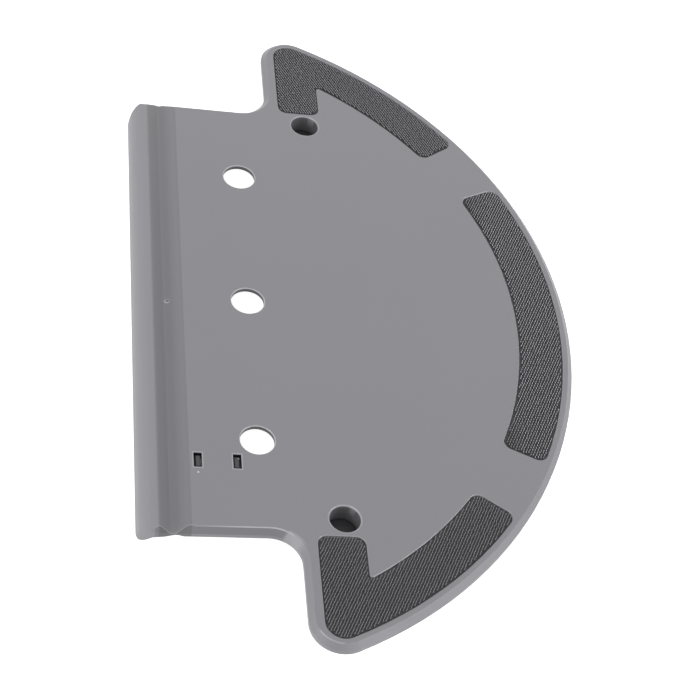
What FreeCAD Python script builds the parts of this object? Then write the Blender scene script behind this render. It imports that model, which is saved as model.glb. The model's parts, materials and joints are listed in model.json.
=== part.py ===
import FreeCAD, Part
import math
import os

# Mop plate of a robot vacuum: one moulded plate, three hook pads, and a clip that holds a small magnet.
# The origin is the centre of the middle through hole, on the flat face that carries the pads.
# +Z points out of that face, +X from the front lip to the round rear edge, +Y along the lip.
# All sizes are in millimetres.

# Outline of the plate, at the foot of its rim
ARC_RADIUS = 168.0
ARC_CENTRE_X = -42.2
EAR_FRONT_X = 13.4
EAR_LENGTH = 51.8
EAR_TIP_RADIUS = 11.6
EAR_ROOT_RADIUS = 11.3
NOSE_FRONT_X = -43.0
LIP_FLARE = 1.1
NOSE_CORNER_RADIUS = 6.0

# Walls and rim
SHEET = 1.8
RIM_DEPTH = 3.8
RIM_WALL = 2.2
BEVEL = 2.1
BEVEL_EDGE_RADIUS = 0.5
RIB_WALL = 1.2
RIB_RECESS = 0.3
RIB_REAR_X = 64.0
RIB_CROSS_Y = 33.5

# Front lip: the face falls into a shallow groove, rises to a crest and rolls over into the nose.
# At both ends of the groove the foot of the rim rises in a low notch.
SHOULDER_X = -25.8
SHOULDER_RADIUS = 5.0
GROOVE_X = -31.0
GROOVE_DEPTH = 2.8
GROOVE_RADIUS = 2.4
CREST_X = -35.6
CREST_DEPTH = 0.3
CREST_RADIUS = 1.6
NOSE_TOP_X = -41.3
NOSE_TOP_DEPTH = 2.7
NOSE_RADIUS = 9.0
NOSE_DEPTH = 9.9
NOSE_FOOT = 1.0
NOSE_EDGE_RADIUS = 0.4
LIP_REAR_X = -31.0
LIP_BACK_X = -37.7
LIP_BACK_DEPTH = 4.8
LIP_BACK_RADIUS = 2.0
NOTCH_X = -29.7
NOTCH_RISE = 0.7
NOTCH_TOP_LENGTH = 1.4
NOTCH_LENGTH = 5.4

# Hook pads, in pockets with a step in the back wall
PAD_WIDTH = 17.0
PAD_RIM_MARGIN = 4.0
PAD_EAR_MARGIN = 5.1
PAD_CUP_MARGIN = 1.7
PAD_CORNER_RADIUS = 3.6
PAD_INNER_RADIUS = 1.0
CORNER_PAD_END_ANGLE = 35.6
MIDDLE_PAD_HALF_ANGLE = 25.6
POCKET_DEPTH = 1.4
POCKET_CHAMFER = 0.3
PAD_CLEARANCE = 0.3
TAPE_THICKNESS = 0.6
PILE_HEIGHT = 1.1
PILE_MARGIN = 0.5

# Hollow pegs that the robot holds, and the three through holes
CUP_X = 28.9
CUP_INSET = 6.7
CUP_RADIUS = 5.6
CUP_DEPTH = 8.0
PEG_WALL = 1.6
PEG_FLOOR = 1.5
PEG_CHAMFER = 1.0
PEG_COLLAR = 1.2
HOLE_RADIUS = 6.3
HOLE_PITCH = 66.9
MOUTH_CHAMFER = 0.3

# Windows for the clip's two tabs, and the clip with its magnet
WINDOW_PITCH = 14.0
WINDOW_FIRST_X = -21.7
WINDOW_Y = -77.0
WINDOW_LENGTH = 3.0
WINDOW_WIDTH = 6.4
TAB_PITCH = 13.7
TAB_END_GAP = 0.5
TAB_SIDE_GAP = 0.75
TAB_SETBACK = 0.6
TAB_CHAMFER = 0.3
MAGNET_THICKNESS = 2.4
MAGNET_CLEARANCE = 0.1
CLIP_FLOOR = 1.2
CLIP_SHOULDER = 0.7

# Worked out from the values above
EAR_CORNER_Y = math.sqrt(ARC_RADIUS ** 2 - (EAR_FRONT_X - ARC_CENTRE_X) ** 2)
FRONT_HALF_WIDTH = EAR_CORNER_Y - EAR_LENGTH
CUP_Y = FRONT_HALF_WIDTH - CUP_INSET
PAD_OUTER_RADIUS = ARC_RADIUS - PAD_RIM_MARGIN
PAD_INNER_ARC = PAD_OUTER_RADIUS - PAD_WIDTH
LEG_FRONT_X = EAR_FRONT_X + PAD_EAR_MARGIN
LEG_REAR_X = LEG_FRONT_X + PAD_WIDTH
LEG_END_Y = CUP_Y + CUP_RADIUS + PAD_CUP_MARGIN
PAD_TIP_RADIUS = EAR_TIP_RADIUS - PAD_EAR_MARGIN
WINDOW_SECOND_X = WINDOW_FIRST_X + WINDOW_PITCH
TAB_FIRST_X = WINDOW_FIRST_X + (WINDOW_PITCH - TAB_PITCH) / 2
TAB_SECOND_X = TAB_FIRST_X + TAB_PITCH
TAB_LENGTH = WINDOW_LENGTH - 2 * TAB_END_GAP
TAB_WIDTH = WINDOW_WIDTH - 2 * TAB_SIDE_GAP
CUP_SIDES = (1, -1)

# Room for cutting tools beyond the part, and how close two places must be to count as one
FAR = 2 * ARC_RADIUS
LOW = -(NOSE_DEPTH + CUP_DEPTH + PEG_FLOOR)
NEAR = 0.05


def block(x0, x1, y0, y1, z0, z1):
    """Box between two corners."""
    return Part.makeBox(x1 - x0, y1 - y0, z1 - z0, FreeCAD.Vector(x0, y0, z0))


def disc(radius, z0, z1, x=ARC_CENTRE_X, y=0.0):
    """Upright cylinder between two levels."""
    return Part.makeCylinder(radius, z1 - z0, FreeCAD.Vector(x, y, z0))


def mirrored(shape):
    """The same shape on the other side of the plate's long centre line."""
    return shape.mirror(FreeCAD.Vector(0, 0, 0), FreeCAD.Vector(0, 1, 0))


def is_upright(edge):
    """True for an edge that runs straight along Z."""
    low, high = edge.BoundBox.ZMin, edge.BoundBox.ZMax
    return high - low > NEAR and edge.BoundBox.XLength < NEAR and edge.BoundBox.YLength < NEAR


def round_uprights(solid, radius, chosen):
    """Round the upright edges whose place satisfies chosen(x, y)."""
    edges = []
    for edge in solid.Edges:
        foot = edge.Vertexes[0].Point
        if is_upright(edge) and chosen(foot.x, foot.y):
            edges.append(edge)
    if not edges:
        raise ValueError("no upright edge to round by " + str(radius))
    return solid.makeFillet(radius, edges)


def rounded_section(corners):
    """Closed face in the XZ plane from corners (x, z, radius), with each corner rounded by its radius."""
    edges = []
    count = len(corners)
    starts = []
    for i in range(count):
        x, z, radius = corners[i]
        corner = FreeCAD.Vector(x, 0, z)
        before = FreeCAD.Vector(corners[i - 1][0], 0, corners[i - 1][1]) - corner
        after = FreeCAD.Vector(corners[(i + 1) % count][0], 0, corners[(i + 1) % count][1]) - corner
        if radius == 0:
            starts.append((corner, corner))
            continue
        half = before.getAngle(after) / 2
        before.normalize()
        after.normalize()
        reach = radius / math.tan(half)
        middle = (before + after).normalize() * (radius / math.sin(half) - radius)
        first = corner + before * reach
        last = corner + after * reach
        edges.append(Part.Arc(first, corner + middle, last).toShape())
        starts.append((first, last))
    for i in range(count):
        edges.append(Part.makeLine(starts[i][1], starts[(i + 1) % count][0]))
    return Part.Face(Part.Wire(Part.__sortEdges__(edges)))


def along_y(section):
    """Carry an XZ section across the whole width."""
    placed = section.copy()
    placed.translate(FreeCAD.Vector(0, -FAR, 0))
    return placed.extrude(FreeCAD.Vector(0, 2 * FAR, 0))


def flared(x0, x1, half_width, z0, z1):
    """Block from x0 to x1 that has this half width at x1 and widens towards the nose."""
    widened = half_width + LIP_FLARE * (x1 - x0) / (EAR_FRONT_X - NOSE_FRONT_X)
    points = []
    for x, y in ((x0, -widened), (x1, -half_width), (x1, half_width), (x0, widened), (x0, -widened)):
        points.append(FreeCAD.Vector(x, y, z0))
    return Part.Face(Part.makePolygon(points)).extrude(FreeCAD.Vector(0, 0, z1 - z0))


def outline(inset, z0, z1, front_x, corner_radius):
    """Prism of the plate's outline, moved inwards all round by inset."""
    half_width = FRONT_HALF_WIDTH - inset
    ear_x = EAR_FRONT_X + inset
    front = flared(front_x, ear_x, half_width, z0, z1)
    ears = block(ear_x, FAR, -FAR, FAR, z0, z1)
    prism = front.fuse(ears).common(disc(ARC_RADIUS - inset, z0, z1)).removeSplitter()
    prism = round_uprights(prism, EAR_TIP_RADIUS - inset,
                           lambda x, y: abs(x - ear_x) < NEAR and abs(y) > half_width + 1)
    prism = round_uprights(prism, EAR_ROOT_RADIUS + inset,
                           lambda x, y: abs(x - ear_x) < NEAR and abs(abs(y) - half_width) < NEAR)
    if corner_radius > 0:
        prism = round_uprights(prism, corner_radius, lambda x, y: abs(x - front_x) < NEAR)
    return prism


def lip_top(drop):
    """Corners of the upper surface from the nose back to the flat face, lowered by drop."""
    return [
        (NOSE_TOP_X, -NOSE_TOP_DEPTH - drop, NOSE_RADIUS),
        (CREST_X, -CREST_DEPTH - drop, CREST_RADIUS),
        (GROOVE_X, -GROOVE_DEPTH - drop, GROOVE_RADIUS),
        (SHOULDER_X, -drop, SHOULDER_RADIUS),
        (FAR, -drop, 0),
    ]


def blank():
    """The plate before it is hollowed: bevelled edge, lip and nose."""
    long_front = NOSE_FRONT_X - 2 * NOSE_RADIUS
    body = outline(0, -NOSE_DEPTH, 0, long_front, 0)
    top_edges = []
    for edge in body.Edges:
        box = edge.BoundBox
        if box.ZMin > -NEAR and box.XMax > long_front + NEAR:
            top_edges.append(edge)
    body = body.makeChamfer(BEVEL, top_edges)
    inner_edges = []
    for edge in body.Edges:
        box = edge.BoundBox
        if box.ZMin > -NEAR and box.XMax > long_front + NEAR:
            inner_edges.append(edge)
    body = body.makeFillet(BEVEL_EDGE_RADIUS, inner_edges)
    foot = [
        (FAR, -RIM_DEPTH, 0),
        (LIP_REAR_X, -RIM_DEPTH, 0),
        (LIP_BACK_X, -LIP_BACK_DEPTH, LIP_BACK_RADIUS),
        (NOSE_FRONT_X + NOSE_FOOT, -NOSE_DEPTH, NOSE_EDGE_RADIUS),
        (NOSE_FRONT_X, -NOSE_DEPTH, NOSE_EDGE_RADIUS),
    ]
    body = body.common(along_y(rounded_section(lip_top(0) + foot)))
    body = body.common(outline(0, LOW, 1, NOSE_FRONT_X, NOSE_CORNER_RADIUS))
    return body.cut(notches())


def notches():
    """Low notches in the foot of the rim, one at each end of the groove."""
    top = -RIM_DEPTH + NOTCH_RISE
    slope = (NOTCH_LENGTH - NOTCH_TOP_LENGTH) / 2 / NOTCH_RISE
    foot = -RIM_DEPTH - NOTCH_RISE
    half_foot = NOTCH_TOP_LENGTH / 2 + slope * (top - foot)
    section = rounded_section([
        (NOTCH_X - NOTCH_TOP_LENGTH / 2, top, 0),
        (NOTCH_X - half_foot, foot, 0),
        (NOTCH_X + half_foot, foot, 0),
        (NOTCH_X + NOTCH_TOP_LENGTH / 2, top, 0),
    ])
    inner = FRONT_HALF_WIDTH - RIM_WALL
    return along_y(section).cut(block(-FAR, FAR, -inner, inner, LOW, 1))


def beyond_ray(angle, inset):
    """Everything on the outer side of a ray from the arc's centre, moved outwards by inset."""
    side = Part.makeBox(FAR, FAR, FAR, FreeCAD.Vector(0, inset, -FAR / 2))
    side.rotate(FreeCAD.Vector(0, 0, 0), FreeCAD.Vector(0, 0, 1), angle)
    side.translate(FreeCAD.Vector(ARC_CENTRE_X, 0, 0))
    return side


def ring(inset, z0, z1):
    """The band that all pads share, moved inwards by inset."""
    outer = disc(PAD_OUTER_RADIUS - inset, z0, z1)
    return outer.cut(disc(PAD_INNER_ARC + inset, z0, z1))


def off_ray(x, y, angle):
    """Distance of a point from the ray at an angle through the arc's centre, positive on the outer side."""
    turn = math.radians(angle)
    return y * math.cos(turn) - (x - ARC_CENTRE_X) * math.sin(turn)


def corner_pad(inset, z0, z1):
    """Prism of the pad on the ear at +Y: a leg along the ear and a curved arm along the rim."""
    front = LEG_FRONT_X + inset
    rear = LEG_REAR_X - inset
    end = LEG_END_Y + inset
    arm = ring(inset, z0, z1).common(beyond_ray(CORNER_PAD_END_ANGLE, inset))
    arm = arm.common(block(front, FAR, 0, FAR, z0, z1))
    leg = block(front, rear, end, FAR, z0, z1).common(disc(PAD_OUTER_RADIUS - inset, z0, z1))
    pad = arm.fuse(leg).removeSplitter()
    corner = PAD_CORNER_RADIUS - inset
    pad = round_uprights(pad, corner, lambda x, y: abs(y - end) < NEAR)
    pad = round_uprights(pad, corner, lambda x, y: abs(off_ray(x, y, CORNER_PAD_END_ANGLE) - inset) < NEAR)
    pad = round_uprights(pad, PAD_TIP_RADIUS - inset, lambda x, y: abs(x - front) < NEAR and y > end + PAD_WIDTH)
    inner = PAD_INNER_ARC + inset
    if PAD_INNER_RADIUS + inset > 0:
        pad = round_uprights(pad, PAD_INNER_RADIUS + inset,
                             lambda x, y: abs(math.hypot(x - ARC_CENTRE_X, y) - inner) < NEAR
                             and abs(x - rear) < NEAR)
    return pad


def middle_pad(inset, z0, z1):
    """Prism of the curved pad in the middle of the rear edge."""
    pad = ring(inset, z0, z1).common(block(0, FAR, -FAR, FAR, z0, z1))
    for side in (1, -1):
        cut = beyond_ray(MIDDLE_PAD_HALF_ANGLE, -inset)
        pad = pad.cut(cut if side > 0 else mirrored(cut))
    return round_uprights(pad, PAD_CORNER_RADIUS - inset, lambda x, y: True)


PAD_SHAPES = {
    "hook_pad_left": lambda inset, z0, z1: corner_pad(inset, z0, z1),
    "hook_pad_middle": lambda inset, z0, z1: middle_pad(inset, z0, z1),
    "hook_pad_right": lambda inset, z0, z1: mirrored(corner_pad(inset, z0, z1)),
}


def edges_at_face(solid, near_shape):
    """Edges of the solid on the flat face that also lie on another shape."""
    found = []
    for edge in solid.Edges:
        box = edge.BoundBox
        if box.ZMin > -NEAR and box.ZMax < NEAR and edge.distToShape(near_shape)[0] < NEAR / 10:
            middle = edge.valueAt((edge.FirstParameter + edge.LastParameter) / 2)
            if Part.Vertex(middle).distToShape(near_shape)[0] < NEAR / 10:
                found.append(edge)
    return found


def cut_pockets(body):
    """Sink the three pad pockets and break their upper edges."""
    for shape in PAD_SHAPES.values():
        pocket = shape(0, -POCKET_DEPTH, 1)
        body = body.cut(pocket)
        rim = shape(0, -POCKET_DEPTH, 0)
        top = [face for face in rim.Faces if face.CenterOfMass.z > -NEAR][0]
        body = body.makeChamfer(POCKET_CHAMFER, edges_at_face(body, top.OuterWire))
    return body


def rib(x0, x1, y0, y1):
    """A stiffening rib on the back, a little short of the rim's foot."""
    return block(x0, x1, y0, y1, -RIM_DEPTH + RIB_RECESS, 0)


def ribs():
    """Two long ribs along the lip, and cross ribs between the holes and through the pegs."""
    half = RIB_WALL / 2
    found = []
    for x in (CUP_X, RIB_REAR_X):
        found.append(rib(x - half, x + half, -FAR, FAR))
    for side in CUP_SIDES:
        for y in (RIB_CROSS_Y, CUP_Y):
            found.append(rib(-FAR, FAR, side * y - half, side * y + half))
    return found


def clip_box(margin, z0, z1):
    """Block around both windows, with a margin on every side."""
    half_length = WINDOW_LENGTH / 2 + margin
    half_width = WINDOW_WIDTH / 2 + margin
    return block(WINDOW_FIRST_X - half_length, WINDOW_SECOND_X + half_length,
                 WINDOW_Y - half_width, WINDOW_Y + half_width, z0, z1)


def hollow():
    """The room behind the sheet, less the ribs and the steps behind the pad pockets."""
    under = lip_top(SHEET) + [(FAR, LOW, 0), (NOSE_FRONT_X, LOW, 0)]
    room = outline(RIM_WALL, LOW, 0, NOSE_FRONT_X + RIM_WALL, 0)
    room = room.common(along_y(rounded_section(under)))
    for shape in PAD_SHAPES.values():
        room = room.cut(shape(-SHEET, -POCKET_DEPTH - SHEET, 0))
    for bar in ribs():
        room = room.cut(bar.cut(clip_box(CLIP_SHOULDER + PAD_CLEARANCE, LOW, 0)))
    return room


def turned(profile, x, y):
    """Solid of revolution about an upright axis, from (radius, z) points and rounded corners."""
    solid = rounded_section(profile).revolve(FreeCAD.Vector(0, 0, 0), FreeCAD.Vector(0, 0, 1), 360)
    solid.translate(FreeCAD.Vector(x, y, 0))
    return solid


def mouth_cutter(radius, depth, x, y):
    """Round cutter that also breaks the edge where it leaves the flat face."""
    return turned([(0, -depth, 0), (radius, -depth, 0), (radius, -MOUTH_CHAMFER, 0),
                   (radius + 2 * MOUTH_CHAMFER, MOUTH_CHAMFER, 0), (0, MOUTH_CHAMFER, 0)], x, y)


def pegs(body):
    """Add the two hollow pegs, each with a collar as deep as the ribs, and open their cups from the face."""
    radius = CUP_RADIUS + PEG_WALL
    foot = -(CUP_DEPTH + PEG_FLOOR)
    collar = -RIM_DEPTH + RIB_RECESS
    root = -(SHEET + POCKET_DEPTH) / 2
    for side in CUP_SIDES:
        peg = turned([(0, root, 0), (0, foot, 0), (radius - PEG_CHAMFER, foot, 0),
                      (radius, foot + PEG_CHAMFER, 0), (radius, collar, 0), (radius + PEG_COLLAR, collar, 0),
                      (radius + PEG_COLLAR, root, 0)], CUP_X, side * CUP_Y)
        body = body.fuse(peg).cut(mouth_cutter(CUP_RADIUS, CUP_DEPTH, CUP_X, side * CUP_Y))
    return body


def mop_plate():
    """The moulded plate."""
    body = cut_pockets(blank())
    body = pegs(body.cut(hollow()))
    for step in (-1, 0, 1):
        body = body.cut(mouth_cutter(HOLE_RADIUS, RIM_DEPTH, 0, step * HOLE_PITCH))
    for x in (WINDOW_FIRST_X, WINDOW_SECOND_X):
        body = body.cut(upright_bar(x, WINDOW_LENGTH, WINDOW_WIDTH, -RIM_DEPTH, 1))
    return body.removeSplitter()


def upright_bar(x, length, width, z0, z1):
    """Bar of a length along X and a width along Y, centred on the windows' line."""
    return block(x - length / 2, x + length / 2, WINDOW_Y - width / 2, WINDOW_Y + width / 2, z0, z1)


def hook_pad(shape):
    """Backing tape in its pocket, with the hook pile as one raised block."""
    tape_top = -POCKET_DEPTH + TAPE_THICKNESS
    tape = shape(PAD_CLEARANCE, -POCKET_DEPTH, tape_top)
    pile = shape(PAD_CLEARANCE + PILE_MARGIN, tape_top, tape_top + PILE_HEIGHT)
    return tape.fuse(pile).removeSplitter()


def magnet_room(clearance, z1):
    """The magnet between the clip's tabs, or its room with a clearance."""
    x0 = TAB_FIRST_X + TAB_LENGTH / 2 + clearance
    x1 = TAB_SECOND_X - TAB_LENGTH / 2 - clearance
    half_width = TAB_WIDTH / 2 - clearance
    z0 = -SHEET - MAGNET_THICKNESS - MAGNET_CLEARANCE
    return block(x0, x1, WINDOW_Y - half_width, WINDOW_Y + half_width, z0, z1)


def magnet_clip():
    """Black clip behind the plate: a tray for the magnet, with two tabs that stand in the windows."""
    foot = -SHEET - MAGNET_THICKNESS - MAGNET_CLEARANCE - CLIP_FLOOR
    clip = clip_box(CLIP_SHOULDER, foot, -SHEET)
    clip = round_uprights(clip, CLIP_SHOULDER, lambda x, y: True)
    for x in (TAB_FIRST_X, TAB_SECOND_X):
        tab = upright_bar(x, TAB_LENGTH, TAB_WIDTH, foot, -TAB_SETBACK)
        crown = [edge for edge in tab.Edges if edge.BoundBox.ZMin > -TAB_SETBACK - NEAR]
        clip = clip.fuse(tab.makeChamfer(TAB_CHAMFER, crown))
    return clip.cut(magnet_room(0, -SHEET)).removeSplitter()


def sensor_magnet():
    """Block magnet that tells the robot the plate is fitted."""
    return magnet_room(MAGNET_CLEARANCE, -SHEET - MAGNET_CLEARANCE)


def main():
    os.makedirs("parts", exist_ok=True)
    nodes = {"mop_plate": mop_plate(), "magnet_clip": magnet_clip(), "sensor_magnet": sensor_magnet()}
    for name, shape in PAD_SHAPES.items():
        nodes[name] = hook_pad(shape)
    for name, solid in nodes.items():
        solid.exportStep("parts/" + name + ".step")
        print(name, solid.isValid(), len(solid.Solids), round(solid.Volume, 1))


main()
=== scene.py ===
"""Mop plate of a robot vacuum: finishes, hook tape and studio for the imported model."""
import json
import math

import bpy
import numpy as np
from mathutils import Matrix, Vector


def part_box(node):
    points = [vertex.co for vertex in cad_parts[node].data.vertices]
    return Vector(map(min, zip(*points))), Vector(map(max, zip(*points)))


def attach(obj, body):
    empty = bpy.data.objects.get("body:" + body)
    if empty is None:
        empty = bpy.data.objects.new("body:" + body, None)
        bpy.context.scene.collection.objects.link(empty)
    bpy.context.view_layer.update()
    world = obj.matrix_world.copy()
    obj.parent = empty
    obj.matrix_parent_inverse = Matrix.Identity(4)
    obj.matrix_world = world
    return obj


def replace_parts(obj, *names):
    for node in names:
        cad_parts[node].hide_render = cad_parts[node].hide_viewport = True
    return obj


bl_info = {
    "name": "Robot Vacuum Mop Plate",
    "version": (1, 0, 0),
    "blender": (4, 5, 0),
    "location": "View3D > Sidebar > Mop Plate",
    "description": "Finishes the moulded mop plate, weaves its hook tape and sets the studio",
    "category": "Object",
}

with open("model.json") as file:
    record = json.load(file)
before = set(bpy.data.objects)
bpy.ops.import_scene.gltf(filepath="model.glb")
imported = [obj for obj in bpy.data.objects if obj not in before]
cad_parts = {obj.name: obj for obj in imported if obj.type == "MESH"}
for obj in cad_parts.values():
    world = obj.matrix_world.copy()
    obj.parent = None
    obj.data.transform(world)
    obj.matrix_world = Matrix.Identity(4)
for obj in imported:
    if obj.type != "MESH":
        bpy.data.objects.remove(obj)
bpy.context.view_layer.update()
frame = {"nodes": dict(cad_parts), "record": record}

MM = 0.001
BODY = "root"
PADS = ("hook_pad_left", "hook_pad_middle", "hook_pad_right")
BLACK = (0.0, 0.0, 0.0, 1.0)
WHITE = (1.0, 1.0, 1.0, 1.0)

# Least difference of height, and least area of a triangle, that count
SAME_HEIGHT = 0.001 * MM
LEAST_AREA = 1e-6 * MM * MM


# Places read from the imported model, in metres

def mount(name):
    """One of the record's mounts by name."""
    return next(m for m in frame["record"]["mounts"] if m["name"] == name)


PLATE_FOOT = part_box("mop_plate")[0].z
PLATE_MIDDLE = (40 * MM, 0.0, 0.0)
HOLE_RADIUS = mount("centre_hole")["dims"]["r_mm"] * MM
HOLE_PITCH = mount("outer_holes")["dims"]["spacing_y_mm"] * MM / 2
CUP_RADIUS = mount("cup_left")["dims"]["r_mm"] * MM
CUP_DEPTH = mount("cup_left")["dims"]["length_mm"] * MM
CUP_X, CUP_Y = mount("cup_left")["pos_m"][:2]

# Places on the plate that the record doesn't name, as in the part's source
EAR_FRONT_X = 13.4 * MM
ARC_CENTRE_X = -42.2 * MM
FRONT_HALF_WIDTH = 106.73 * MM
LIP_FLARE = 1.1 / 56.4
ROOT_X = 2.1 * MM
ROOT_Y = 118.25 * MM
BEVEL = 2.1 * MM
WINDOWS_X = (-21.7 * MM, -7.7 * MM)
WINDOW_Y = -77.0 * MM
WINDOW_LENGTH = 3.0 * MM
WINDOW_WIDTH = 6.4 * MM
CLIP_TAB_TOP = -0.88 * MM

# Direction in plan from a cup's axis to the side that mirrors a light
CUP_LIGHT_X, CUP_LIGHT_Y = 0.58, 0.81

# How far the hooks scatter in their turn and in their height, and the least height
TURN_SPREAD = math.radians(5)
SIZE_SPREAD = 0.03
LEAST_SIZE = 0.9

# Marks on the plate, and a painted glint on the clip's second tab; the gate ring's painted highlight comes
# from a direction in plan
GATE_X = -30.2 * MM
GATE_Y = -0.6 * MM
GATE_LIGHT_X, GATE_LIGHT_Y = -0.6, -0.8
SPOT_X = -21.7 * MM
SPOT_Y = -82.5 * MM
GLINT_X = -6.914 * MM
GLINT_Y = -75.3 * MM
GLINT_STRETCH = 0.7
GLINT_EDGE = (0.25 * MM, 0.45 * MM)

# Soft edges of the painted shade, painted highlights and marks: where each starts and where it is complete.
# Along Z:
FACE_SKIN = (-0.45 * MM, -0.25 * MM)
FACE_BREAK = (-0.06 * MM, -0.01 * MM)
BEVEL_LINE = (-0.36 * MM, -0.22 * MM)
WALL_TOP = (-BEVEL - 0.2 * MM, -BEVEL)
HOLE_TOP = (-0.35 * MM, -0.2 * MM)
WINDOW_TOP = (-0.3 * MM, -0.1 * MM)
CUP_TOP = (-0.5 * MM, -0.1 * MM)
CUP_LOWER = (-6.0 * MM, -1.2 * MM)
CUP_FLOOR = (0.2 * MM - CUP_DEPTH, 0.4 * MM - CUP_DEPTH)
STREAK_HEIGHT = (-0.7 * CUP_DEPTH, -0.1 * CUP_DEPTH)
# Along X:
LINE_FRONT = (-38 * MM, -36.5 * MM)
LINE_REAR = (-25 * MM, -23 * MM)
LINE_GROWTH = (-24 * MM, -6 * MM)
LIP_FRONT = (-37.3 * MM, -36.9 * MM)
LIP_REAR = (-24.7 * MM, -24.5 * MM)
SIDE_REAR = (8 * MM, 10 * MM)
LINE_END = (9 * MM, 12 * MM)
PADS_FRONT = (16.2 * MM, 16.8 * MM)
TIP_FRONT = (22 * MM, 28 * MM)
ARC_PAD = (92 * MM, 100 * MM)
# Along Y:
EAR_WALL_NEAR = (-149 * MM, -142 * MM)
TIP_FAR = (-147 * MM, -140 * MM)
NEAR_END = (-100 * MM, -98 * MM)
EAR_WALL_FAR = (-92 * MM, -80 * MM)
NEAR_PAD = (-86 * MM, -80 * MM)
NEAR_TO_FAR = (-86 * MM, 60 * MM)
# By distance from the arc's centre, from the recess corner's round, and before that corner:
PADS_REAR = (164.6 * MM, 165.2 * MM)
EAR_WALL = (165.4 * MM, 166.2 * MM)
CORNER_ROUND = (14.0 * MM, 14.4 * MM)
CORNER_START = (-8 * MM, -1 * MM)
CORNER_LINE = (-4 * MM, 3 * MM)
CORNER_END = (4.6 * MM, 5.6 * MM)
SIDE_START = (5.2 * MM, 6.4 * MM)
# Away from a wall or an edge:
LIP_END = (0.0, 0.05 * MM)
LINE_INNER = (0.02 * MM, 0.08 * MM)
LINE_OUTER = (0.25 * MM, 0.45 * MM)
OPENING_WALL = (0.1 * MM, 0.2 * MM)
# From a cup's axis towards its light:
STREAK_ACROSS = (CUP_RADIUS * 0.95, CUP_RADIUS * 0.99)
CUP_ARC = (CUP_RADIUS, CUP_RADIUS * 1.04)
# Off the gate mark's ring, from its centre, and from its centre towards its light:
GATE_LINE = (0.10 * MM, 0.35 * MM)
GATE_DOT = (0.15 * MM, 0.40 * MM)
GATE_LIT = (-0.2 * MM, 0.7 * MM)

# How much painted shade or painted highlight the rim's parts get
LIP_END_SHADE = 0.25
SIDE_SHADE = 0.22
CORNER_LIGHT = 0.32
TIP_LIGHT = 0.12
EAR_WALL_SHADE = 0.22

# How strong the rim's painted highlight line is at the lip, and what it gains towards the ears
LINE_AT_LIP = 0.48
LINE_GAIN = 0.75

# Shares of the cups' painted shade: on the wall, more under the rim, less on the painted highlight streak,
# more on the floor
CUP_WALL_SHARE = 0.20
CUP_RIM_SHARE = 0.52
CUP_STREAK_SHARE = -0.8
CUP_FLOOR_SHARE = 0.98

# How much of the hooks' painted highlight shows on the near pad, and what the far pad and the arc's pad gain
HOOK_LIGHT = 0.37
HOOK_GAIN_FAR = 0.18
HOOK_GAIN_ARC = 0.36

# Bands along X with painted shade of their own, or a painted highlight where the share is below 0:
# where each starts to rise, is full, starts to fall and ends, and its share of the lip's painted shade
LIP_BANDS = {
    "nose_front": (-46.0 * MM, -44.0 * MM, -42.4 * MM, -39.8 * MM, 0.67),
    "nose_top": (-40.2 * MM, -39.0 * MM, -36.6 * MM, -35.8 * MM, -0.30),
    "hollow": (-36.4 * MM, -35.4 * MM, *LIP_REAR, 1.0),
    "crest_back": (-36.2 * MM, -34.8 * MM, -32.4 * MM, -31.2 * MM, 1.1),
    "groove_foot": (-30.2 * MM, -29.0 * MM, -27.2 * MM, -26.0 * MM, 0.30),
}


# Sizes and colours that a user would change

class PlateFinish(bpy.types.PropertyGroup):
    colour: bpy.props.FloatVectorProperty(
        name="Colour", description="Grey of the moulded plastic", subtype="COLOR",
        size=3, min=0, max=1, default=(0.283, 0.279, 0.301))
    roughness: bpy.props.FloatProperty(
        name="Roughness", description="Roughness of the eroded mould surface", default=0.42, min=0, max=1)
    polished_roughness: bpy.props.FloatProperty(
        name="Polished roughness", description="Roughness of the edges",
        default=0.30, min=0, max=1)
    gloss: bpy.props.FloatProperty(
        name="Gloss", description="Level of the surface's reflection", default=0.4, min=0, max=1)
    # The lip's hollow is painted darker than the face: painted shade
    lip_shade: bpy.props.FloatProperty(
        name="Lip shade", description="How much darker the lip's hollow is than the face",
        default=0.165, min=0, max=1)
    # The windows, the holes and the cups are painted darker inside than the face: painted shade
    window_shade: bpy.props.FloatProperty(
        name="Window shade", description="How much darker the sides of the two windows are than the face",
        default=0.97, min=0, max=1)
    hole_shade: bpy.props.FloatProperty(
        name="Hole shade", description="How much darker the walls of the three holes are than the face",
        default=0.6, min=0, max=1)
    cup_shade: bpy.props.FloatProperty(
        name="Cup shade", description="How much darker the insides of the cups are than the face",
        default=0.62, min=0, max=1)
    grain: bpy.props.FloatProperty(
        name="Grain", description="Width of one grain of the surface", default=0.35 * MM,
        unit="LENGTH", precision=5)
    grain_depth: bpy.props.FloatProperty(
        name="Grain depth", description="Depth of the grain", default=0.006 * MM,
        unit="LENGTH", precision=6)
    edge_ring: bpy.props.FloatProperty(
        name="Edge ring", description="Width of the bright ring round each hole", default=0.45 * MM,
        unit="LENGTH", precision=5)
    gate_radius: bpy.props.FloatProperty(
        name="Gate mark", description="Radius of the ring that the mould's gate left in the groove",
        default=0.95 * MM, unit="LENGTH", precision=5)
    # A small pale spot below the first window
    spot_radius: bpy.props.FloatProperty(
        name="Spot", description="Radius of the pale nick below the first window", default=0.45 * MM,
        unit="LENGTH", precision=5)


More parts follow.
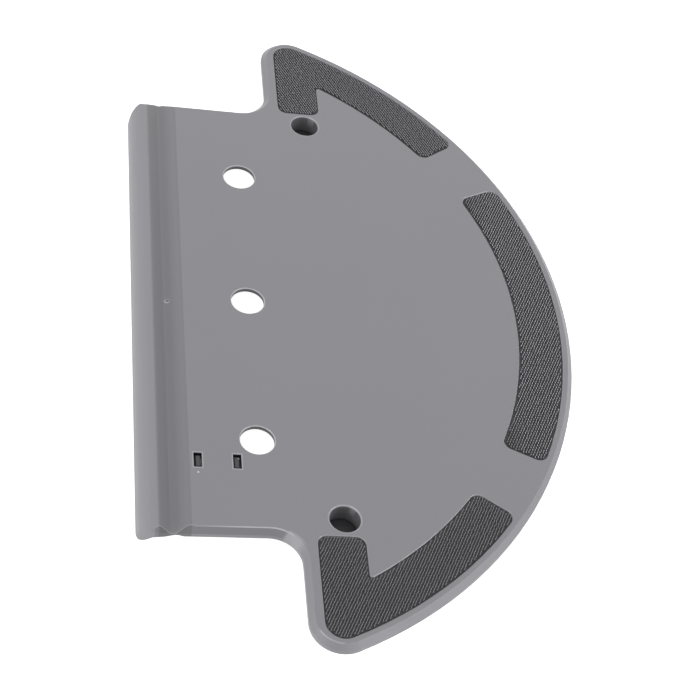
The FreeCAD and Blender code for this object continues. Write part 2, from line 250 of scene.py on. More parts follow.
class HookTape(bpy.types.PropertyGroup):
    ground: bpy.props.FloatVectorProperty(
        name="Ground", description="Colour of the woven ground", subtype="COLOR",
        size=3, min=0, max=1, default=(0.060, 0.060, 0.063))
    selvedge: bpy.props.FloatVectorProperty(
        name="Selvedge", description="Colour of the smooth margin round the hooks", subtype="COLOR",
        size=3, min=0, max=1, default=(0.060, 0.060, 0.064))
    stem: bpy.props.FloatVectorProperty(
        name="Stem", description="Colour of the hooks' stems", subtype="COLOR",
        size=3, min=0, max=1, default=(0.050, 0.050, 0.053))
    # The crooks' paler colour is a painted highlight on the same nylon as the stems
    hook: bpy.props.FloatVectorProperty(
        name="Hook", description="Colour of the hooks' crooks", subtype="COLOR",
        size=3, min=0, max=1, default=(0.42, 0.415, 0.450))
    step_x: bpy.props.FloatProperty(
        name="Step across", description="Half the distance between hooks of one row", default=0.533 * MM,
        unit="LENGTH", precision=5)
    step_y: bpy.props.FloatProperty(
        name="Step along", description="Distance between rows of hooks", default=1.104 * MM,
        unit="LENGTH", precision=5)
    margin: bpy.props.FloatProperty(
        name="Margin", description="Least distance of a hook's foot from the tape's edge", default=0.35 * MM,
        min=0.1 * MM, max=2 * MM, unit="LENGTH")
    wire: bpy.props.FloatProperty(
        name="Wire", description="Diameter of a hook's wire", default=0.24 * MM,
        unit="LENGTH", precision=5)
    crook: bpy.props.FloatProperty(
        name="Crook", description="Half the length of a crook on the outer pads", default=0.50 * MM,
        unit="LENGTH", precision=5)
    short_crook: bpy.props.FloatProperty(
        name="Short crook", description="Half the length of a crook on the middle pad", default=0.34 * MM,
        min=0.1 * MM, max=0.6 * MM, unit="LENGTH")
    crook_rise: bpy.props.FloatProperty(
        name="Crook rise", description="Height of a crook over its stem", default=0.28 * MM,
        min=0.1 * MM, max=0.5 * MM, unit="LENGTH")
    unevenness: bpy.props.FloatProperty(
        name="Unevenness", description="How far a hook stands off its place in the weave",
        default=0.05 * MM, unit="LENGTH", precision=5)


class ClipFinish(bpy.types.PropertyGroup):
    colour: bpy.props.FloatVectorProperty(
        name="Clip", description="Colour of the magnet clip", subtype="COLOR",
        size=3, min=0, max=1, default=(0.058, 0.055, 0.064))
    roughness: bpy.props.FloatProperty(
        name="Roughness", description="Roughness of the clip", default=0.38, min=0, max=1)
    # Colour of the painted glint on the second tab
    glint: bpy.props.FloatVectorProperty(
        name="Glint", description="Colour of the bright chip on the second tab", subtype="COLOR",
        size=3, min=0, max=1, default=(0.55, 0.55, 0.57))
    nickel: bpy.props.FloatVectorProperty(
        name="Nickel", description="Colour of the magnet's plating", subtype="COLOR",
        size=3, min=0, max=1, default=(0.62, 0.60, 0.56))


class Studio(bpy.types.PropertyGroup):
    lens: bpy.props.FloatProperty(
        name="Lens", description="Focal length on a 36 mm frame, in millimetres", default=102.0)
    camera_place: bpy.props.FloatVectorProperty(
        name="Camera", description="Where the camera stands", default=(-0.10747, -0.50368, 0.54266),
        subtype="TRANSLATION", precision=5)
    camera_target: bpy.props.FloatVectorProperty(
        name="Target", description="Point at the middle of the picture", default=(0.03741, -0.02177, 0.0),
        subtype="TRANSLATION", precision=5)
    camera_roll: bpy.props.FloatProperty(
        name="Roll", description="Turn of the camera about its line of sight",
        default=math.radians(15.825), subtype="ANGLE")
    over_light: bpy.props.FloatProperty(
        name="Overhead light", description="Power of the large light overhead", default=1.0, unit="POWER")
    lip_light: bpy.props.FloatProperty(
        name="Lip light", description="Power of the light before the lip and the near ear",
        default=3.7, unit="POWER")
    low_light: bpy.props.FloatProperty(
        name="Low light", description="Power of the low light that grazes the lip", default=2.3, unit="POWER")
    arc_light: bpy.props.FloatProperty(
        name="Arc light", description="Power of the light beyond the round edge", default=5.2, unit="POWER")
    far_light: bpy.props.FloatProperty(
        name="Far light", description="Power of the light behind the far ear", default=3.3, unit="POWER")
    sky: bpy.props.FloatProperty(
        name="Sky", description="Strength of the even light from all round", default=0.44)
    floor_glow: bpy.props.FloatProperty(
        name="Floor glow", description="Glow that lifts the pale floor to white for the camera",
        default=0.94)


GROUPS = {
    "mop_plate_finish": PlateFinish,
    "mop_plate_tape": HookTape,
    "mop_plate_clip": ClipFinish,
    "mop_plate_studio": Studio,
}


# Shader arithmetic

class Wire:
    """An output socket of a node, which takes part in ordinary arithmetic."""

    def __init__(self, nodes, socket):
        self.nodes = nodes
        self.socket = socket

    def math(self, operation, *values):
        return self.nodes.node("ShaderNodeMath", {"operation": operation}, values)

    def __add__(self, other):
        return self.math("ADD", self, other)

    def __radd__(self, other):
        return self.math("ADD", other, self)

    def __sub__(self, other):
        return self.math("SUBTRACT", self, other)

    def __rsub__(self, other):
        return self.math("SUBTRACT", other, self)

    def __mul__(self, other):
        return self.math("MULTIPLY", self, other)

    def __rmul__(self, other):
        return self.math("MULTIPLY", other, self)

    def __pow__(self, other):
        return self.math("POWER", self, other)

    def __abs__(self):
        return self.math("ABSOLUTE", self)

    def sine(self):
        return self.math("SINE", self)

    def most(self, other):
        return self.math("MAXIMUM", self, other)

    def after(self, start, end):
        """0 before start and 1 after end, smooth between them."""
        values = {"Value": self, "From Min": start, "From Max": end}
        return self.nodes.node("ShaderNodeMapRange", {"interpolation_type": "SMOOTHSTEP"}, values)

    def before(self, start, end):
        """1 before start and 0 after end, smooth between them."""
        return 1 - self.after(start, end)


class Nodes:
    """The nodes of a material or a world, all made by one method."""

    def __init__(self, tree):
        self.tree = tree

    def node(self, kind, settings=None, values=(), output=0):
        """Add a node: its settings first, then the value or link of each input, by order or by name."""
        made = self.tree.nodes.new(kind)
        for name, value in (settings or {}).items():
            setattr(made, name, value)
        pairs = values.items() if isinstance(values, dict) else enumerate(values)
        for place, value in pairs:
            self.feed(made.inputs[place], value)
        return Wire(self, made.outputs[output])

    def feed(self, socket, value):
        """Link a wire to a socket, or set the socket's own value."""
        if isinstance(value, Wire):
            self.tree.links.new(value.socket, socket)
        else:
            socket.default_value = value

    def shown_white(self):
        """1 for the rays that should meet a white studio: camera rays, and those from gloss and glass."""
        seen = self.node("ShaderNodeLightPath", output="Is Camera Ray")
        outs = seen.socket.node.outputs
        for ray in ("Is Glossy Ray", "Is Transmission Ray"):
            seen = seen.most(Wire(self, outs[ray]))
        return seen


class Paint(Nodes):
    """A material under construction, built on one Principled shader."""

    def __init__(self, name, **constants):
        self.material = bpy.data.materials.new(name)
        self.material.use_nodes = True
        super().__init__(self.material.node_tree)
        self.shader = self.tree.nodes["Principled BSDF"]
        self.set(**constants)

    def set(self, **inputs):
        """Values or links of the shader's inputs, by their names with _ for a space."""
        for socket, value in inputs.items():
            self.feed(self.shader.inputs[socket.replace("_", " ")], value)

    def place(self):
        """Object coordinates, and their three parts."""
        point = self.node("ShaderNodeTexCoord", output="Object")
        parts = self.node("ShaderNodeSeparateXYZ", None, [point])
        outs = parts.socket.node.outputs
        return point, Wire(self, outs["X"]), Wire(self, outs["Y"]), Wire(self, outs["Z"])

    def noise(self, point, size, detail=2.0, roughness=0.5):
        """Noise around 0.5 whose features are about this size in metres."""
        values = {"Vector": point, "Scale": 1 / size, "Detail": detail, "Roughness": roughness}
        return self.node("ShaderNodeTexNoise", None, values)

    def mix(self, factor, first, second):
        """Colour between two colours."""
        mixed = self.node("ShaderNodeMix", {"data_type": "RGBA"}, {0: factor, 6: first, 7: second})
        return Wire(self, mixed.socket.node.outputs[2])

    def bump(self, height, distance, normal=None):
        """Normal of a surface raised by height times distance."""
        values = {"Height": height, "Distance": distance}
        if normal is not None:
            values["Normal"] = normal
        return self.node("ShaderNodeBump", None, values)


def shade(colour, factor=1.0):
    """The same colour, lighter or darker, as an opaque one."""
    return (*(min(1.0, part * factor) for part in colour), 1.0)


def distance_to(x, y, centre_x, centre_y):
    """Distance in plan from an upright line."""
    across = x - centre_x
    along = y - centre_y
    return (across * across + along * along) ** 0.5


def ring(off, width):
    """1 on a ring that starts where off is 0 and is this wide, smooth at its edges."""
    return abs(off - width / 2).before(width * 0.4, width)


def union(masks):
    """The greatest of several masks."""
    whole = masks[0]
    for mask in masks[1:]:
        whole = whole.most(mask)
    return whole


# The moulded plate

class PlatePlace:
    """Where a point of the plate lies: its coordinates, and how it stands to the plate's main lines.

    What starts with off is the distance outwards from the wall of each hole, window or cup, and up_cups
    the distance from each cup's axis towards the side that mirrors a light."""

    def __init__(self, paint):
        self.point, self.x, self.y, self.z = paint.place()
        self.face = self.z.after(*FACE_SKIN)
        self.off_face = self.z.before(*FACE_BREAK)
        self.wall = self.z.before(*WALL_TOP)
        self.bevel = self.off_face * (1 - self.wall)
        self.near = self.y.before(*NEAR_END)
        half_width = FRONT_HALF_WIDTH + (EAR_FRONT_X - self.x) * LIP_FLARE
        self.to_bevel = half_width - abs(self.y) - (self.z + BEVEL).most(0)
        self.from_arc_centre = distance_to(self.x, self.y, ARC_CENTRE_X, 0.0)
        self.before_corner = (ROOT_Y - abs(self.y)) - (self.x - ROOT_X)
        self.off_holes = [distance_to(self.x, self.y, 0.0, side * HOLE_PITCH) - HOLE_RADIUS
                          for side in (-1, 0, 1)]
        beside = abs(self.y - WINDOW_Y) - WINDOW_WIDTH / 2
        self.off_windows = [(abs(self.x - middle) - WINDOW_LENGTH / 2).most(beside) for middle in WINDOWS_X]
        self.off_cups = [distance_to(self.x, self.y, CUP_X, side * CUP_Y) - CUP_RADIUS for side in (-1, 1)]
        self.up_cups = [(self.x - CUP_X) * CUP_LIGHT_X + (self.y - side * CUP_Y) * CUP_LIGHT_Y
                        for side in (-1, 1)]

    def inside(self, off, start, end):
        """1 on the walls and the floor of an opening, from a soft edge at this height down."""
        return off.before(*OPENING_WALL) * self.z.before(start, end)


def edge_highlights(finish, at):
    """Painted highlights on the edges round the pads' pockets, the holes and the cups."""
    pad_zone = at.x.after(*PADS_FRONT) * at.from_arc_centre.before(*PADS_REAR)
    pockets = at.face * at.off_face * pad_zone
    holes = [ring(off, finish.edge_ring * 0.65) * at.face for off in at.off_holes]
    cups = [ring(off, finish.edge_ring) * at.face for off in at.off_cups]
    return union([pockets, *holes, *cups])


def highlight_lines(finish, at):
    """Painted highlight lines: the bevel's upper edge, the windows' edges and one arc of each cup's."""
    lip = at.to_bevel.after(*LINE_INNER) * at.to_bevel.before(*LINE_OUTER)
    lip = lip * at.x.after(*LINE_FRONT) * at.x.before(*LINE_REAR)
    recess = at.z.after(*BEVEL_LINE) * at.off_face * at.x.after(*LINE_REAR)
    recess = recess * at.x.before(*LINE_END) * at.before_corner.after(*CORNER_LINE)
    rim = lip.most(recess) * (LINE_AT_LIP + at.x.after(*LINE_GROWTH) * LINE_GAIN)
    windows = [ring(off, finish.edge_ring * 0.8) * at.face * 0.7 for off in at.off_windows]
    cups = [ring(off, finish.edge_ring) * at.face * up.after(*CUP_ARC)
            for off, up in zip(at.off_cups, at.up_cups)]
    return union([rim, *windows, *cups])


def lip_painted_light(finish, at):
    """Painted shade and highlights along the lip: each band takes its share of its shade, and the end wall is
    shaded.
    """
    tone = 1.0
    for rise, full, fall, end, share in LIP_BANDS.values():
        tone = tone * (1 - at.x.after(rise, full) * at.x.before(fall, end) * finish.lip_shade * share)
    lip_end = at.to_bevel.before(*LIP_END) * at.x.after(*LIP_FRONT) * at.x.before(*LIP_REAR)
    return tone * (1 - lip_end * LIP_END_SHADE)


def rim_painted_light(at):
    """Near rim: painted shade on the recess's side and the ear's wall, painted highlights on its corner and
    the ear's tip.
    """
    side = at.bevel * at.near * at.before_corner.after(*SIDE_START)
    side = side * at.x.after(*LIP_REAR) * at.x.before(*SIDE_REAR)
    corner = at.before_corner.after(*CORNER_START) * at.before_corner.before(*CORNER_END)
    corner = corner * distance_to(at.x, at.y, ROOT_X, -ROOT_Y).before(*CORNER_ROUND) * at.near
    tip = at.bevel * at.y.before(*TIP_FAR) * at.x.after(*TIP_FRONT)
    wall = at.wall * at.from_arc_centre.after(*EAR_WALL)
    wall = wall * at.y.after(*EAR_WALL_NEAR) * at.y.before(*EAR_WALL_FAR)
    # Painted shade on the straight side, a painted highlight round the corner
    recess = (1 - side * SIDE_SHADE) * (1 + corner * CORNER_LIGHT)
    return recess * (1 + tip * TIP_LIGHT) * (1 - wall * EAR_WALL_SHADE)


def cup_painted_shade(at):
    """Painted shade inside the cups: most on the floors, then under the rims, least on a painted highlight
    streak.
    """
    floor = at.z.before(*CUP_FLOOR)
    under_rim = at.z.after(*CUP_LOWER)
    upper = at.z.after(*STREAK_HEIGHT)
    depths = []
    for off, up in zip(at.off_cups, at.up_cups):
        streak = up.after(*STREAK_ACROSS) * upper
        dark = CUP_WALL_SHARE + under_rim * CUP_RIM_SHARE
        dark = dark + streak * CUP_STREAK_SHARE + floor * CUP_FLOOR_SHARE
        depths.append(at.inside(off, *CUP_TOP) * dark)
    return union(depths)


def opening_painted_shade(finish, at, windows):
    """Painted shade inside the through holes, the windows and the cups."""
    holes = union([at.inside(off, *HOLE_TOP) for off in at.off_holes])
    tone = (1 - holes * finish.hole_shade) * (1 - windows * finish.window_shade)
    return tone * (1 - cup_painted_shade(at) * finish.cup_shade)


def plate_paint(finish):
    """Eroded grey plastic: fine grain, faint flow clouds, painted highlights on the edges, a gate mark and a
    pale spot.

    The lip, the near rim and the insides of the openings get painted shade and painted highlights of the same
    grey."""
    paint = Paint("moulded_grey_plastic", IOR=1.49, Specular_IOR_Level=finish.gloss)
    at = PlatePlace(paint)
    clouds = paint.noise(at.point, 60 * MM)
    mottle = paint.noise(at.point, 2.2 * MM, 3.0)
    grain = paint.noise(at.point, finish.grain, 2.0, 0.6)
    windows = union([at.inside(off, *WINDOW_TOP) for off in at.off_windows])
    # Random clouds and mottle, times the painted shade and highlights of the lip, the near rim and the
    # openings
    tone = (0.965 + clouds * 0.05 + mottle * 0.02) * lip_painted_light(finish, at) * rim_painted_light(at)
    tone = tone * opening_painted_shade(finish, at, windows)

    gate = distance_to(at.x, at.y, GATE_X, GATE_Y)
    gate_ring = abs(gate - finish.gate_radius).before(*GATE_LINE)
    gate_lit = ((at.x - GATE_X) * GATE_LIGHT_X + (at.y - GATE_Y) * GATE_LIGHT_Y).after(*GATE_LIT)
    gate_dot = gate.before(*GATE_DOT)
    # A small pale spot below the first window
    spot = distance_to(at.x, at.y, SPOT_X, SPOT_Y).before(finish.spot_radius * 0.6, finish.spot_radius)

    # Painted highlights round the pockets, holes and cups, where the edges are also less rough
    edges = edge_highlights(finish, at)
    # The tone may pass 1 and a mix's factor may not: so half the tone, mixed from black to twice the grey
    base = paint.mix(tone * 0.5, BLACK, shade(finish.colour, 2.0))
    # Each mark: where it shows and how strongly, and how many times as light as the grey it is
    marks = (
        # painted highlights on the edges
        (edges * 0.5, 1.9),
        # painted highlight lines
        (highlight_lines(finish, at) * 0.8, 1.9),
        # the gate ring, paler on its side towards a light: a painted highlight on a real mark
        (gate_ring * (0.25 + gate_lit * 0.75), 2.0),
        (gate_dot * 0.5, 0.4),
        (spot * at.face * 0.9, 2.8),
    )
    for mask, lightness in marks:
        base = paint.mix(mask, base, shade(finish.colour, lightness))
    rough = finish.roughness + (mottle - 0.5) * 0.10
    rough = rough + (finish.polished_roughness - finish.roughness) * edges + windows * 0.5
    relief = paint.bump(grain, finish.grain_depth)
    relief = paint.bump(gate_ring + gate_dot * 0.6, 0.06 * MM, relief)
    paint.set(Base_Color=base, Roughness=rough, Normal=relief)
    return paint.material


class MOP_OT_plate(bpy.types.Operator):
    """Give the moulded plate its grained grey plastic"""
    bl_idname = "mop.plate"
    bl_label = "Moulded plate"

    def execute(self, context):
        plate = frame["nodes"]["mop_plate"]
        plate.material_slots[0].material = plate_paint(context.scene.mop_plate_finish)
        return {"FINISHED"}


# The hook tape

def triangles(node):
    """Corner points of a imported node's triangles, as an array of shape (count, 3, 3)."""
    mesh = frame["nodes"][node].data
    points = np.empty(len(mesh.vertices) * 3)
    mesh.vertices.foreach_get("co", points)
    corners = np.empty(len(mesh.polygons) * 3, int)
    mesh.polygons.foreach_get("vertices", corners)
    return points.reshape(-1, 3)[corners].reshape(-1, 3, 3)


def levels(node):
    """Heights of a pad's foot, of its tape's top and of its pile's top, from its flat faces."""
    found = np.unique(triangles(node)[:, :, 2].round(6))
    if len(found) != 3:
        raise RuntimeError(node + " should have a foot, a tape and a pile")
    return found


def add_mesh(name, points, faces):
    """A new object of this name in the scene, from arrays of its points and faces."""
    mesh = bpy.data.meshes.new(name)
    mesh.from_pydata(points, [], faces)
    mesh.update()
    piece = bpy.data.objects.new(name, mesh)
    bpy.context.scene.collection.objects.link(piece)
    return piece


def lies_at(corners, height):
    """True for each triangle that lies flat at a height."""
    return np.abs(corners[:, :, 2] - height).max(axis=1) < SAME_HEIGHT


def rim_of(corners, height):
    """Border segments of the flat face at a height: the edges that only one of its triangles has."""
    flat = lies_at(corners, height)
    face = corners[flat][:, :, :2].round(7)
    starts = face.reshape(-1, 2)
    ends = np.roll(face, -1, axis=1).reshape(-1, 2)
    forward = np.hstack([starts, ends])
    backward = np.hstack([ends, starts])
    both, where = np.unique(np.vstack([forward, backward]), axis=0, return_inverse=True)
    where = where.ravel()
    counts = np.bincount(where, minlength=len(both))
    single = counts[where[:len(forward)]] == 1
    return forward[single].reshape(-1, 2, 2)


def within(points, segments):
    """True for each point that a ray along +X leaves through an odd number of border segments."""
    low, high = segments[:, 0], segments[:, 1]
    px, py = points[:, 0:1], points[:, 1:2]
    spans = (low[:, 1] > py) != (high[:, 1] > py)
    rise = high[:, 1] - low[:, 1]
    rise = np.where(rise == 0, 1.0, rise)
    reach = low[:, 0] + (py - low[:, 1]) / rise * (high[:, 0] - low[:, 0])
    return (spans & (px < reach)).sum(axis=1) % 2 == 1


def from_border(points, segments):
    """Distance of each point from the nearest border segment."""
    start = segments[:, 0]
    run = segments[:, 1] - start
    length = (run ** 2).sum(axis=1)
    off = points[:, None, :] - start
    along = np.clip((off * run).sum(axis=2) / length, 0, 1)
    return np.sqrt(((off - along[:, :, None] * run) ** 2).sum(axis=2).min(axis=1))


def weave_points(tape, node):
    """Places of the hooks: every second crossing of a grid, within the border of the pad's foot."""
    border = rim_of(triangles(node), levels(node)[0])
    low = border.reshape(-1, 2).min(axis=0)
    high = border.reshape(-1, 2).max(axis=0)
    across = np.arange(math.floor(low[0] / tape.step_x), math.ceil(high[0] / tape.step_x) + 1)
    along = np.arange(math.floor(low[1] / tape.step_y), math.ceil(high[1] / tape.step_y) + 1)
    grid = np.stack(np.meshgrid(across, along, indexing="ij"), axis=-1).reshape(-1, 2)
    grid = grid[grid.sum(axis=1) % 2 == 0]
    points = grid * (tape.step_x, tape.step_y)
    points = points[within(points, border)]
    return points[from_border(points, border) > tape.margin]


def hook_shape(tape, height, crook):
    """One hook: a round wire along a stem that rises and bends over in half an ellipse.

    The path is a straight stem up to the crook's centre, then an arc of a little over half a turn.
    The wire's ring at each path point lies in the plane across the path, and narrows at the tip."""
    rise = height - tape.crook_rise - tape.wire / 2
    turns = np.radians([180, 135, 90, 40, -20])
    arc = np.stack([crook * np.cos(turns), rise + tape.crook_rise * np.sin(turns)], axis=1)
    path = np.vstack([[(-crook, 0.0)], arc])
    headings = np.gradient(path, axis=0)
    headings /= np.linalg.norm(headings, axis=1, keepdims=True)
    taper = np.array([1.15, 1.0, 1.0, 1.0, 0.95, 0.6])
    radii = tape.wire / 2 * taper
    angles = np.radians([45, 135, 225, 315])
    side = np.stack([-headings[:, 1], headings[:, 0]], axis=1)
    out = radii[:, None] * np.cos(angles)
    level = radii[:, None] * np.sin(angles)
    x = path[:, 0:1] + side[:, 0:1] * out
    z = path[:, 1:2] + side[:, 1:2] * out
    points = np.stack([x, level, z], axis=2).reshape(-1, 3)
    sides = len(angles)
    here = np.arange(sides)
    beside = (here + 1) % sides
    rows = np.arange(len(path) - 1)[:, None] * sides
    quads = [rows + here, rows + beside, rows + sides + beside, rows + sides + here]
    tip = (len(path) - 1) * sides + here
    return points, np.vstack([np.stack(quads, axis=2).reshape(-1, 4), tip[None, :]])


def grow_hooks(tape, node, name, heading, crook, seed):
    """All hooks of one pad as one mesh: the single hook, turned, sized and set at each place of the weave."""
    top, tips = levels(node)[1:]
    shape, faces = hook_shape(tape, tips - top, crook)
    places = weave_points(tape, node)
    count = len(places)
    chance = np.random.default_rng(seed)
    places = places + chance.normal(0, tape.unevenness, places.shape)
    turn = heading + chance.normal(0, TURN_SPREAD, count)
    size = chance.normal(1.0, SIZE_SPREAD, count).clip(LEAST_SIZE, 1.0)
    cos, sin = np.cos(turn)[:, None], np.sin(turn)[:, None]
    x = shape[:, 0] * cos - shape[:, 1] * sin + places[:, 0:1]
    y = shape[:, 0] * sin + shape[:, 1] * cos + places[:, 1:2]
    z = shape[:, 2] * size[:, None] + top
    points = np.stack([x, y, z], axis=2).reshape(-1, 3)
    quads = (faces[None] + (np.arange(count) * len(shape))[:, None, None]).reshape(-1, 4)
    piece = add_mesh(name, points, quads)
    piece.data.shade_smooth()
    return piece


def woven_tape(node, name):
    """The tape without its pile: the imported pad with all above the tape's top brought down to it.

    Faces that stood on the pile's top become the ground, slot 0, and the rest the selvedge, slot 1."""
    top, tips = levels(node)[1:]
    corners = triangles(node)
    ground = lies_at(corners, tips)
    corners[:, :, 2] = np.minimum(corners[:, :, 2], top)
    area = np.linalg.norm(np.cross(corners[:, 1] - corners[:, 0], corners[:, 2] - corners[:, 0]), axis=1)
    kept = area > LEAST_AREA
    corners, ground = corners[kept], ground[kept]
    points, where = np.unique(corners.reshape(-1, 3).round(8), axis=0, return_inverse=True)
    piece = add_mesh(name, points, where.reshape(-1, 3))
    piece.data.polygons.foreach_set("material_index", np.where(ground, 0, 1))
    return piece


def ground_paint(tape):
    """Woven ground between the hooks: crossing threads in dark nylon, painted a little paler on the near pad
    as painted light.
    """
    paint = Paint("woven_ground", Specular_IOR_Level=0.3)
    point, x, y = paint.place()[:3]
    warp = (x * (2 * math.pi / tape.step_x)).sine()
    weft = (y * (4 * math.pi / tape.step_y)).sine()
    threads = warp * weft * 0.5 + 0.5
    fibre = paint.noise(point, 0.4 * MM)
    # The near pad's ground is painted paler: painted light
    tone = threads * 0.6 + fibre * 0.4 + y.before(*NEAR_PAD) * 0.3
    base = paint.mix(tone, shade(tape.ground, 0.6), shade(tape.ground, 1.6))
    relief = paint.bump(threads + fibre * 0.5, 0.12 * MM)
    paint.set(Base_Color=base, Roughness=0.7 + fibre * 0.2, Normal=relief)
    return paint.material


def selvedge_paint(tape):
    """Smooth margin of the tape, where the weave is sealed."""
    paint = Paint("sealed_selvedge", Specular_IOR_Level=0.4)
    fibre = paint.noise(paint.place()[0], 0.5 * MM, 3.0)
    base = paint.mix(fibre, shade(tape.selvedge, 0.8), shade(tape.selvedge, 1.2))
    paint.set(Base_Color=base, Roughness=0.5 + fibre * 0.2, Normal=paint.bump(fibre, 0.05 * MM))
    return paint.material


def hook_paint(tape, top, tips):
    """Nylon hooks: dark stems with crooks painted pale as a painted highlight, the palest on the pad along
    the arc.
    """
    paint = Paint("nylon_hooks")
    point, x, y, z = paint.place()
    rise = z.after(top + (tips - top) * 0.45, top + (tips - top) * 0.8)
    patchy = paint.noise(point, 1.3 * MM)
    # Painted highlight on the crooks, stronger on the far pad and on the arc's pad: painted light
    light = HOOK_LIGHT + y.after(*NEAR_TO_FAR) * HOOK_GAIN_FAR + x.after(*ARC_PAD) * HOOK_GAIN_ARC
    tone = rise * light + (patchy - 0.5) * 0.2
    base = paint.mix(tone, shade(tape.stem), shade(tape.hook, 1.9))
    paint.set(Base_Color=base, Roughness=0.38 + (1 - rise) * 0.3)
    return paint.material


class MOP_OT_tape(bpy.types.Operator):
    """Lay the woven tape of the three hook pads"""
    bl_idname = "mop.tape"
    bl_label = "Hook tape"

    def execute(self, context):
        tape = context.scene.mop_plate_tape
        ground, selvedge = ground_paint(tape), selvedge_paint(tape)
        for node in PADS:
            piece = woven_tape(node, node.replace("hook_pad", "tape"))
            piece.data.materials.append(ground)
            piece.data.materials.append(selvedge)
            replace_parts(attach(piece, BODY), node)
        return {"FINISHED"}


class MOP_OT_hooks(bpy.types.Operator):
    """Grow the hooks on the three pads"""
    bl_idname = "mop.hooks"
    bl_label = "Hooks"

    def execute(self, context):
        tape = context.scene.mop_plate_tape
        top, tips = levels(PADS[0])[1:]
        paint = hook_paint(tape, top, tips)
        along_rows = math.atan2(tape.step_y, tape.step_x)
        along_arc = math.radians(81)
        lie = ((-along_rows, tape.crook), (along_arc, tape.short_crook), (along_rows, tape.crook))
        for seed, (node, (heading, crook)) in enumerate(zip(PADS, lie)):
            piece = grow_hooks(tape, node, node.replace("hook_pad", "hooks"), heading, crook, seed)
            piece.data.materials.append(paint)
            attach(piece, BODY)
        return {"FINISHED"}


# The clip and its magnet

def clip_paint(clip):
    """Dark moulded plastic with a slight gloss, painted shade below its tabs' ends, and a painted glint on
    one tab.
    """
    paint = Paint("dark_clip_plastic", IOR=1.5)
    point, x, y, z = paint.place()
    mottle = paint.noise(point, 1.5 * MM, 3.0)
    grain = paint.noise(point, 0.25 * MM)
    tab_end = z.after(CLIP_TAB_TOP - 0.1 * MM, CLIP_TAB_TOP)
    glint = distance_to(x * GLINT_STRETCH, y, GLINT_X * GLINT_STRETCH, GLINT_Y).before(*GLINT_EDGE) * tab_end
    base = paint.mix(mottle, shade(clip.colour, 0.85), shade(clip.colour, 1.15))
    # All of the clip below its tabs' ends is painted ten times darker: painted shade
    base = paint.mix(tab_end, shade(clip.colour, 0.1), base)
    # A painted glint on the second tab's end
    base = paint.mix(glint, base, shade(clip.glint))
    paint.set(Base_Color=base, Roughness=clip.roughness + mottle * 0.1, Normal=paint.bump(grain, 0.008 * MM))
    return paint.material


def nickel_paint(clip):
    """Barrel-plated nickel with fine scuffs."""
    paint = Paint("nickel_plate", Metallic=1.0)
    scuffs = paint.noise(paint.place()[0], 0.6 * MM, 5.0, 0.7)
    base = paint.mix(scuffs, shade(clip.nickel, 0.85), shade(clip.nickel))
    paint.set(Base_Color=base, Roughness=0.22 + scuffs * 0.2, Normal=paint.bump(scuffs, 0.01 * MM))
    return paint.material


class MOP_OT_clip(bpy.types.Operator):
    """Finish the magnet clip and the magnet in it"""
    bl_idname = "mop.clip"
    bl_label = "Magnet clip"

    def execute(self, context):
        clip = context.scene.mop_plate_clip
        frame["nodes"]["magnet_clip"].material_slots[0].material = clip_paint(clip)
        frame["nodes"]["sensor_magnet"].material_slots[0].material = nickel_paint(clip)
        return {"FINISHED"}


# The studio

def floor_paint(glow):
    """Pale floor that takes the shadow, lifted to white where it is seen."""
    paint = Paint("studio_floor", Roughness=0.9, Specular_IOR_Level=0.2, Emission_Strength=1.0)
    lifted = paint.mix(paint.shown_white(), BLACK, shade(WHITE[:3], glow))
    paint.set(Base_Color=shade(WHITE[:3], 0.8), Emission_Color=lifted)
    return paint.material


def add_floor(height, glow):
    """A square floor under the part."""
    reach = 3.0
    corners = [(x * reach, y * reach, height) for x, y in ((-1, -1), (1, -1), (1, 1), (-1, 1))]
    floor = add_mesh("floor", corners, [(0, 1, 2, 3)])
    floor.data.materials.append(floor_paint(glow))


def add_light(name, power, place, target, size):
    """A soft rectangular light that faces a point."""
    light = bpy.data.lights.new(name, "AREA")
    light.shape = "RECTANGLE"
    light.size, light.size_y = size
    light.energy = power
    holder = bpy.data.objects.new(name, light)
    aim = Vector(target) - Vector(place)
    holder.matrix_world = Matrix.Translation(place) @ aim.to_track_quat("-Z", "Y").to_matrix().to_4x4()
    bpy.context.scene.collection.objects.link(holder)


def set_world(sky):
    """A white studio where it is seen, and an even grey light from all round."""
    world = bpy.data.worlds.new("studio_sky")
    bpy.context.scene.world = world
    world.use_nodes = True
    nodes = Nodes(world.node_tree)
    background = nodes.tree.nodes["Background"]
    nodes.feed(background.inputs["Color"], WHITE)
    nodes.feed(background.inputs["Strength"], sky + nodes.shown_white() * (1 - sky))


def add_camera(studio):
    """Camera at its place, with its target in the middle of the picture and its roll about that line."""
    data = bpy.data.cameras.new("camera")
    data.sensor_width = 36
    data.lens = studio.lens
    data.clip_start, data.clip_end = 0.01, 20
    camera = bpy.data.objects.new("camera", data)
    place, target = Vector(studio.camera_place), Vector(studio.camera_target)
    facing = (target - place).to_track_quat("-Z", "Y").to_matrix().to_4x4()
    camera.matrix_world = Matrix.Translation(place) @ facing @ Matrix.Rotation(studio.camera_roll, 4, "Z")
    bpy.context.scene.collection.objects.link(camera)
    bpy.context.scene.camera = camera


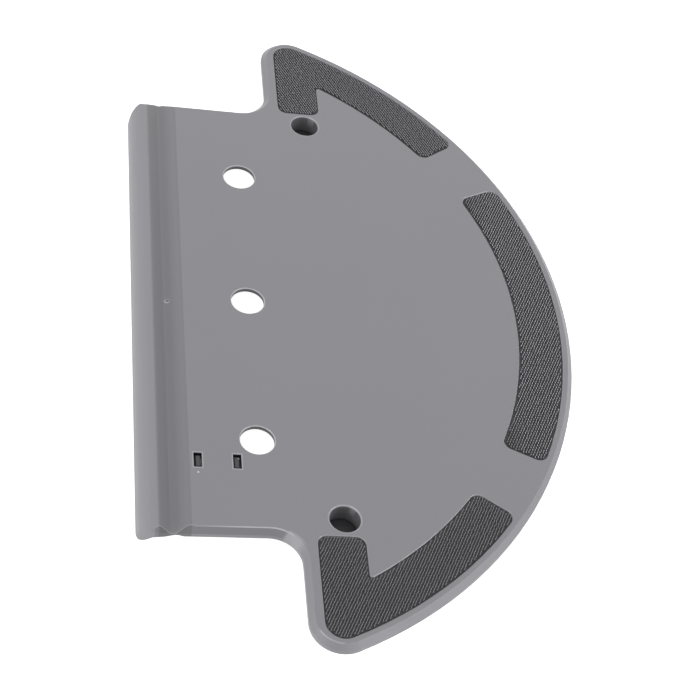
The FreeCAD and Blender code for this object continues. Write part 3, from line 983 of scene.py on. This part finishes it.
class MOP_OT_studio(bpy.types.Operator):
    """Set the floor, the sky, the lights and the camera"""
    bl_idname = "mop.studio"
    bl_label = "Studio"

    def execute(self, context):
        studio = context.scene.mop_plate_studio
        context.scene.view_settings.view_transform = "Standard"
        add_floor(PLATE_FOOT, studio.floor_glow)
        set_world(studio.sky)
        # Each light: its power, its place, and its width and height
        lights = {
            "over_light": (studio.over_light, (0.04, 0.0, 1.2), (1.0, 1.0)),
            "lip_light": (studio.lip_light, (-0.87, -0.50, 0.40), (0.8, 0.5)),
            "low_light": (studio.low_light, (-1.05, -0.10, 0.12), (1.6, 0.2)),
            "arc_light": (studio.arc_light, (1.00, -0.38, 0.45), (0.8, 0.5)),
            "far_light": (studio.far_light, (0.04, 1.1, 0.45), (1.6, 0.5)),
        }
        for name, (power, place, size) in lights.items():
            add_light(name, power, place, PLATE_MIDDLE, size)
        add_camera(studio)
        return {"FINISHED"}


class MOP_PT_panel(bpy.types.Panel):
    """The steps of the mop plate, in order"""
    bl_label = "Mop Plate"
    bl_space_type = "VIEW_3D"
    bl_region_type = "UI"
    bl_category = "Mop Plate"

    def draw(self, context):
        for operator in OPERATORS:
            self.layout.operator(operator.bl_idname)
        for name, group in GROUPS.items():
            box = self.layout.box()
            for prop in group.__annotations__:
                box.prop(getattr(context.scene, name), prop)


OPERATORS = (MOP_OT_plate, MOP_OT_tape, MOP_OT_hooks, MOP_OT_clip, MOP_OT_studio)


def register():
    for cls in (*GROUPS.values(), *OPERATORS, MOP_PT_panel):
        bpy.utils.register_class(cls)
    for name, group in GROUPS.items():
        setattr(bpy.types.Scene, name, bpy.props.PointerProperty(type=group))


def unregister():
    for name in GROUPS:
        delattr(bpy.types.Scene, name)
    for cls in reversed((*GROUPS.values(), *OPERATORS, MOP_PT_panel)):
        bpy.utils.unregister_class(cls)


def main():
    register()
    bpy.ops.mop.plate()
    bpy.ops.mop.tape()
    bpy.ops.mop.hooks()
    bpy.ops.mop.clip()
    bpy.ops.mop.studio()


if __name__ == "__main__":
    main()
